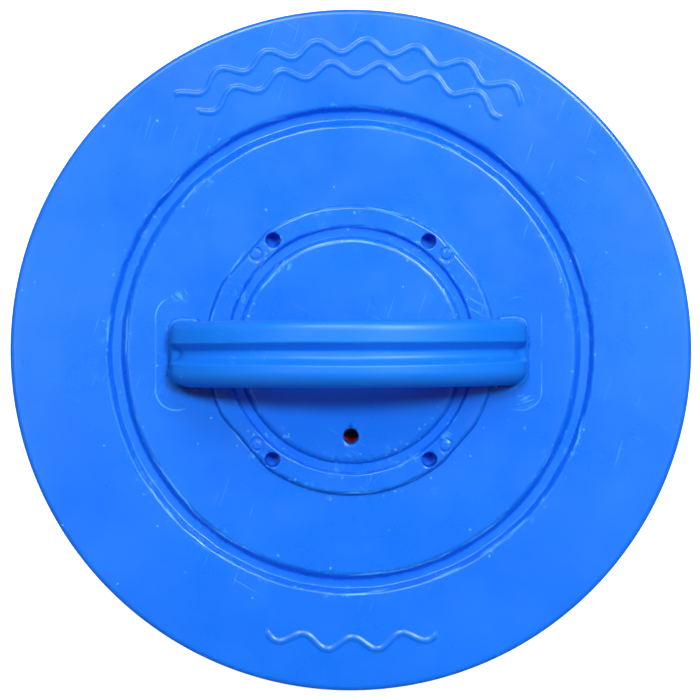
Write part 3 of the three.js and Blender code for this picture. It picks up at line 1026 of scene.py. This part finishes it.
def cast_resin(name, deep, light, roughness, is_cap=True):
    """Satin cast resin: faint clouds of colour, orange peel, scratches and nicks, and a cap's worn edges and
    painted highlight lines over its foot plates.
    """
    look = new_look(name, roughness, 0.5)
    marks = [scratches(look, turn=0.3, threshold=0.68), scratches(look, turn=2.1, threshold=0.69)]
    specks = nicks(look, spacing=3 * MM, size=0.1)
    wear_and_highlight = strongest(look, product(look, strongest(look, *marks), 0.6), specks)
    height = calc(look, "ADD", product(look, grain(look, 900, 3), 0.25), grain(look, 130, 3))
    if is_cap:
        # painted highlight: pale lines over the foot plates' edges, which also raise a faint bump
        outline = foot_edge_highlights(look)
        scuffs = [product(look, scuff(look, *patch), 0.95) for patch in SCUFFS]
        wear_and_highlight = strongest(look, wear_and_highlight, *edge_wear(look), *scuffs, product(look, outline, 0.8))
        height = calc(look, "ADD", height, product(look, round_streaks(look), 0.25))
        height = calc(look, "ADD", height, outline)
    height = calc(look, "ADD", height, product(look, wear_and_highlight, -0.5))
    clouds = span(look, grain(look, 38), 0.35, 0.68)
    # pale blue for the wear, and on a cap for the painted highlight lines over the foot plates
    colour = mix(look, wear_and_highlight, mix(look, clouds, deep, light), (0.09, 0.43, 1.0))
    normal = bumps(look, height, strength=0.16, distance=0.25 * MM)
    gloss = span(look, grain(look, 70, 5, rough=0.65), 0.3, 0.7, roughness - 0.06, roughness + 0.08)
    set_shader(look, Base_Color=colour, Normal=normal, Roughness=gloss)
    return look


def moulded_plastic(name, deep, light, roughness, grain_size=1.6 * MM, dusty=0.35):
    """Injection-moulded plastic: fine texture, faint flow marks and a little dust."""
    look = new_look(name, roughness, 0.45)
    flow = grain(look, 1, 3, coords(look, (60, 60, 14)))
    body = mix(look, span(look, flow, 0.35, 0.65), deep, light)
    dust = span(look, grain(look, 160, 5, rough=0.7), 0.62, 0.74, 0, dusty)
    dust_colour = tuple(0.5 * c + 0.3 for c in light)
    normal = bumps(look, grain(look, 1 / grain_size), strength=0.2, distance=0.15 * MM)
    gloss = span(look, grain(look, 90), 0.3, 0.7, roughness - 0.05, roughness + 0.1)
    set_shader(look, Base_Color=mix(look, dust, body, dust_colour), Normal=normal, Roughness=gloss)
    return look


def spunbonded(name):
    """White spunbonded polyester: embossed dots, tangled fibres and painted grey shade deep in the folds."""
    look = new_look(name, 0.85, 0.25, Sheen_Weight=0.15, Sheen_Roughness=0.5)
    radius = from_axis(look)
    height = add(look, "SeparateXYZ", Vector=place(look)).outputs["Z"]
    on_sheet = add(look, "CombineXYZ", X=radius, Y=height).outputs[0]
    dots = add(look, "TexVoronoi", Vector=on_sheet, Scale=1 / (1.1 * MM), Randomness=0.15)
    pressed = span(look, dots.outputs["Distance"], 0.2, 0.34, 0, 1)
    fibres = grain(look, 1, 5, coords(look, (3200, 3200, 900)), 0.7)
    tangle = grain(look, 1, 5, coords(look, (900, 900, 3200)), 0.7)
    fuzz = product(look, calc(look, "ADD", fibres, tangle), 0.6)
    clouds = span(look, grain(look, 55), 0.35, 0.7)
    cloth = mix(look, clouds, (0.8, 0.805, 0.79), (0.87, 0.87, 0.86))
    cloth = mix(look, product(look, pressed, 0.35), (0.72, 0.725, 0.72), cloth)
    # painted shade: greyer deeper in towards the core, where the folds lie in shade
    fold_shade = span(look, radius, MEDIA_RADIUS - 6 * MM, MEDIA_RADIUS - MM, 0.4, 0)
    colour = mix(look, fold_shade, cloth, (0.55, 0.57, 0.58))
    normal = bumps(look, calc(look, "ADD", pressed, fuzz), strength=0.35, distance=0.12 * MM)
    set_shader(look, Base_Color=colour, Normal=normal)
    return look


def adhesive(name):
    """Hot-melt adhesive: cream, glossy and a little translucent, with small bubbles."""
    look = new_look(name, 0.32, 0.5, Subsurface_Weight=0.25, Subsurface_Scale=MM)
    tone = span(look, grain(look, 120), 0.35, 0.65)
    body = mix(look, tone, (0.74, 0.68, 0.5), (0.86, 0.82, 0.68))
    ripple = grain(look, 1, 3, coords(look, (500, 500, 240)))
    bubbles = nicks(look, spacing=1.3 * MM, size=0.3)
    height = calc(look, "ADD", ripple, product(look, bubbles, 0.4))
    normal = bumps(look, height, strength=0.4, distance=0.2 * MM)
    gloss = span(look, ripple, 0.3, 0.7, 0.25, 0.42)
    set_shader(look, Base_Color=body, Normal=normal, Roughness=gloss)
    return look


def pale_floor(name):
    """A pale grey floor with faint clouds, and a glow of its own that makes it look white."""
    look = new_look(name, 0.75, 0.2, Emission_Color=(1, 1, 1), Emission_Strength=0.93)
    tone = span(look, grain(look, 12, 3), 0.3, 0.7)
    set_shader(look, Base_Color=mix(look, tone, (0.62, 0.62, 0.62), (0.66, 0.66, 0.66)))
    return look


def wear_look(obj, look):
    """Gives a piece its only material."""
    obj.data.materials.clear()
    obj.data.materials.append(look)


# ---------------------------------------------------------------- camera, light and floor
def camera():
    """Straight down over the cap, close enough to see the handle's height in its outline."""
    distance = 0.40
    half_view = 77.3 * MM
    lens = bpy.data.cameras.new("camera")
    lens.sensor_width = 36
    lens.lens = lens.sensor_width / 2 * distance / half_view
    lens.clip_start = 0.01
    eye = bpy.data.objects.new("camera", lens)
    eye.location = (-0.2 * MM, 0, FACE + distance)
    bpy.context.scene.collection.objects.link(eye)
    bpy.context.scene.camera = eye


def soft_light(name, azimuth, elevation, size, power, distance, makes_glints=False):
    """A soft area light that faces the cap from an azimuth (0 along +X) and an elevation, in degrees.

    One kind lights the surfaces and casts the shadows, and the other only makes their glints.
    """
    light = bpy.data.lights.new(name, "AREA")
    light.shape = "DISK"
    light.size = size
    light.energy = power
    lamp = bpy.data.objects.new(name, light)
    around, up = math.radians(azimuth), math.radians(elevation)
    way = Vector((math.cos(up) * math.cos(around), math.cos(up) * math.sin(around), math.sin(up)))
    lamp.location = Vector((0, 0, FACE)) + way * distance
    lamp.rotation_euler = way.to_track_quat("Z", "Y").to_euler()
    lamp.visible_camera = False
    lamp.visible_glossy = makes_glints
    lamp.visible_diffuse = not makes_glints
    if makes_glints:
        light.color = (0.72, 0.93, 1)
    bpy.context.scene.collection.objects.link(lamp)


def surroundings():
    """A dim white world, the lights and a round floor under the spigot."""
    world = bpy.data.worlds.new("studio")
    world.use_nodes = True
    sky = world.node_tree.nodes["Background"]
    sky.inputs["Color"].default_value = (1, 1, 1, 1)
    sky.inputs["Strength"].default_value = 0.085
    world.cycles_visibility.glossy = False
    bpy.context.scene.world = world
    bpy.context.scene.view_settings.view_transform = "Standard"
    soft_light("key_right", azimuth=45, elevation=72, size=0.15, power=5.25, distance=0.9)
    soft_light("key_left", azimuth=115, elevation=72, size=0.15, power=2.85, distance=0.9)
    soft_light("fill", azimuth=75, elevation=50, size=0.375, power=2.3, distance=0.75)
    for name, azimuth, elevation, power in (
        ("glint_right", 48, 52, 10.5),
        ("glint_left", 108, 52, 7.5),
        ("glint_side_right", 0, 66, 0.9),
        ("glint_side_left", 180, 66, 1.2),
    ):
        soft_light(name, azimuth, elevation, size=0.3, power=power, distance=1.2, makes_glints=True)
    underside = -10 * MM
    section = [(0, underside), (FLOOR_RADIUS, underside), (FLOOR_RADIUS, 0), (0, 0)]
    floor = turned("floor", section, segments=256)
    floor.visible_glossy = False
    wear_look(floor, pale_floor("floor_paint"))


# ---------------------------------------------------------------- the cartridge
def fitted(piece, slot, look, *nodes):
    """A piece that rides with the cartridge and stands for CAD nodes."""
    wear_look(piece, look)
    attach(piece, "root")
    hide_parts(*nodes)


def cartridge():
    """Every piece in its material, with the CAD node that it stands for."""
    blue = cast_resin("cast_blue_resin", (0.004, 0.143, 0.8), (0.009, 0.167, 0.83), 0.3)
    # painted highlight: a lighter blue than the cap's resin, standing in for the handle's brighter, glossier
    # top
    handle_blue_lightened = cast_resin("handle_blue_resin_lightened", (0.003, 0.173, 0.81), (0.008, 0.192, 0.84), 0.42, is_cap=False)
    red = moulded_plastic("red_core_plastic", (0.42, 0.018, 0.012), (0.52, 0.03, 0.02), 0.5)
    # painted light: a brighter red than the core's, standing in for light that barely reaches down the deep
    # vent
    plug_red_lightened = moulded_plastic("red_plug_plastic_lightened", (0.66, 0.035, 0.022), (0.74, 0.05, 0.035), 0.6, dusty=0.03)
    pale = moulded_plastic("pale_adapter_plastic", (0.70, 0.71, 0.715), (0.78, 0.785, 0.79), 0.45)
    strap = moulded_plastic("white_strap_plastic", (0.76, 0.77, 0.77), (0.84, 0.845, 0.85), 0.5, 0.8 * MM)
    fitted(top_cap(), "cap_resin", blue, "top_cap")
    fitted(handle(), "handle_resin", handle_blue_lightened, "handle")
    fitted(bottom_cap(), "cap_resin", blue, "bottom_cap")
    fitted(threaded_adapter(), "adapter_plastic", pale, "threaded_adapter")
    fitted(pleated_media(), "filter_fabric", spunbonded("spunbonded_polyester"), "pleated_media")
    fitted(seam_bead(), "seam_adhesive", adhesive("seam_hot_melt"), "media_seam")
    fitted(band("strap_lower", BAND_LEVELS[0]), "band_strap", strap, "band_lower")
    fitted(band("strap_upper", BAND_LEVELS[1]), "band_strap", strap, "band_upper")
    for name in ("core_upper", "core_middle", "core_lower"):
        wear_look(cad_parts[name], red)
    fitted(core_plug(), "core_plastic", plug_red_lightened, "core_plug")


camera()
surroundings()
cartridge()
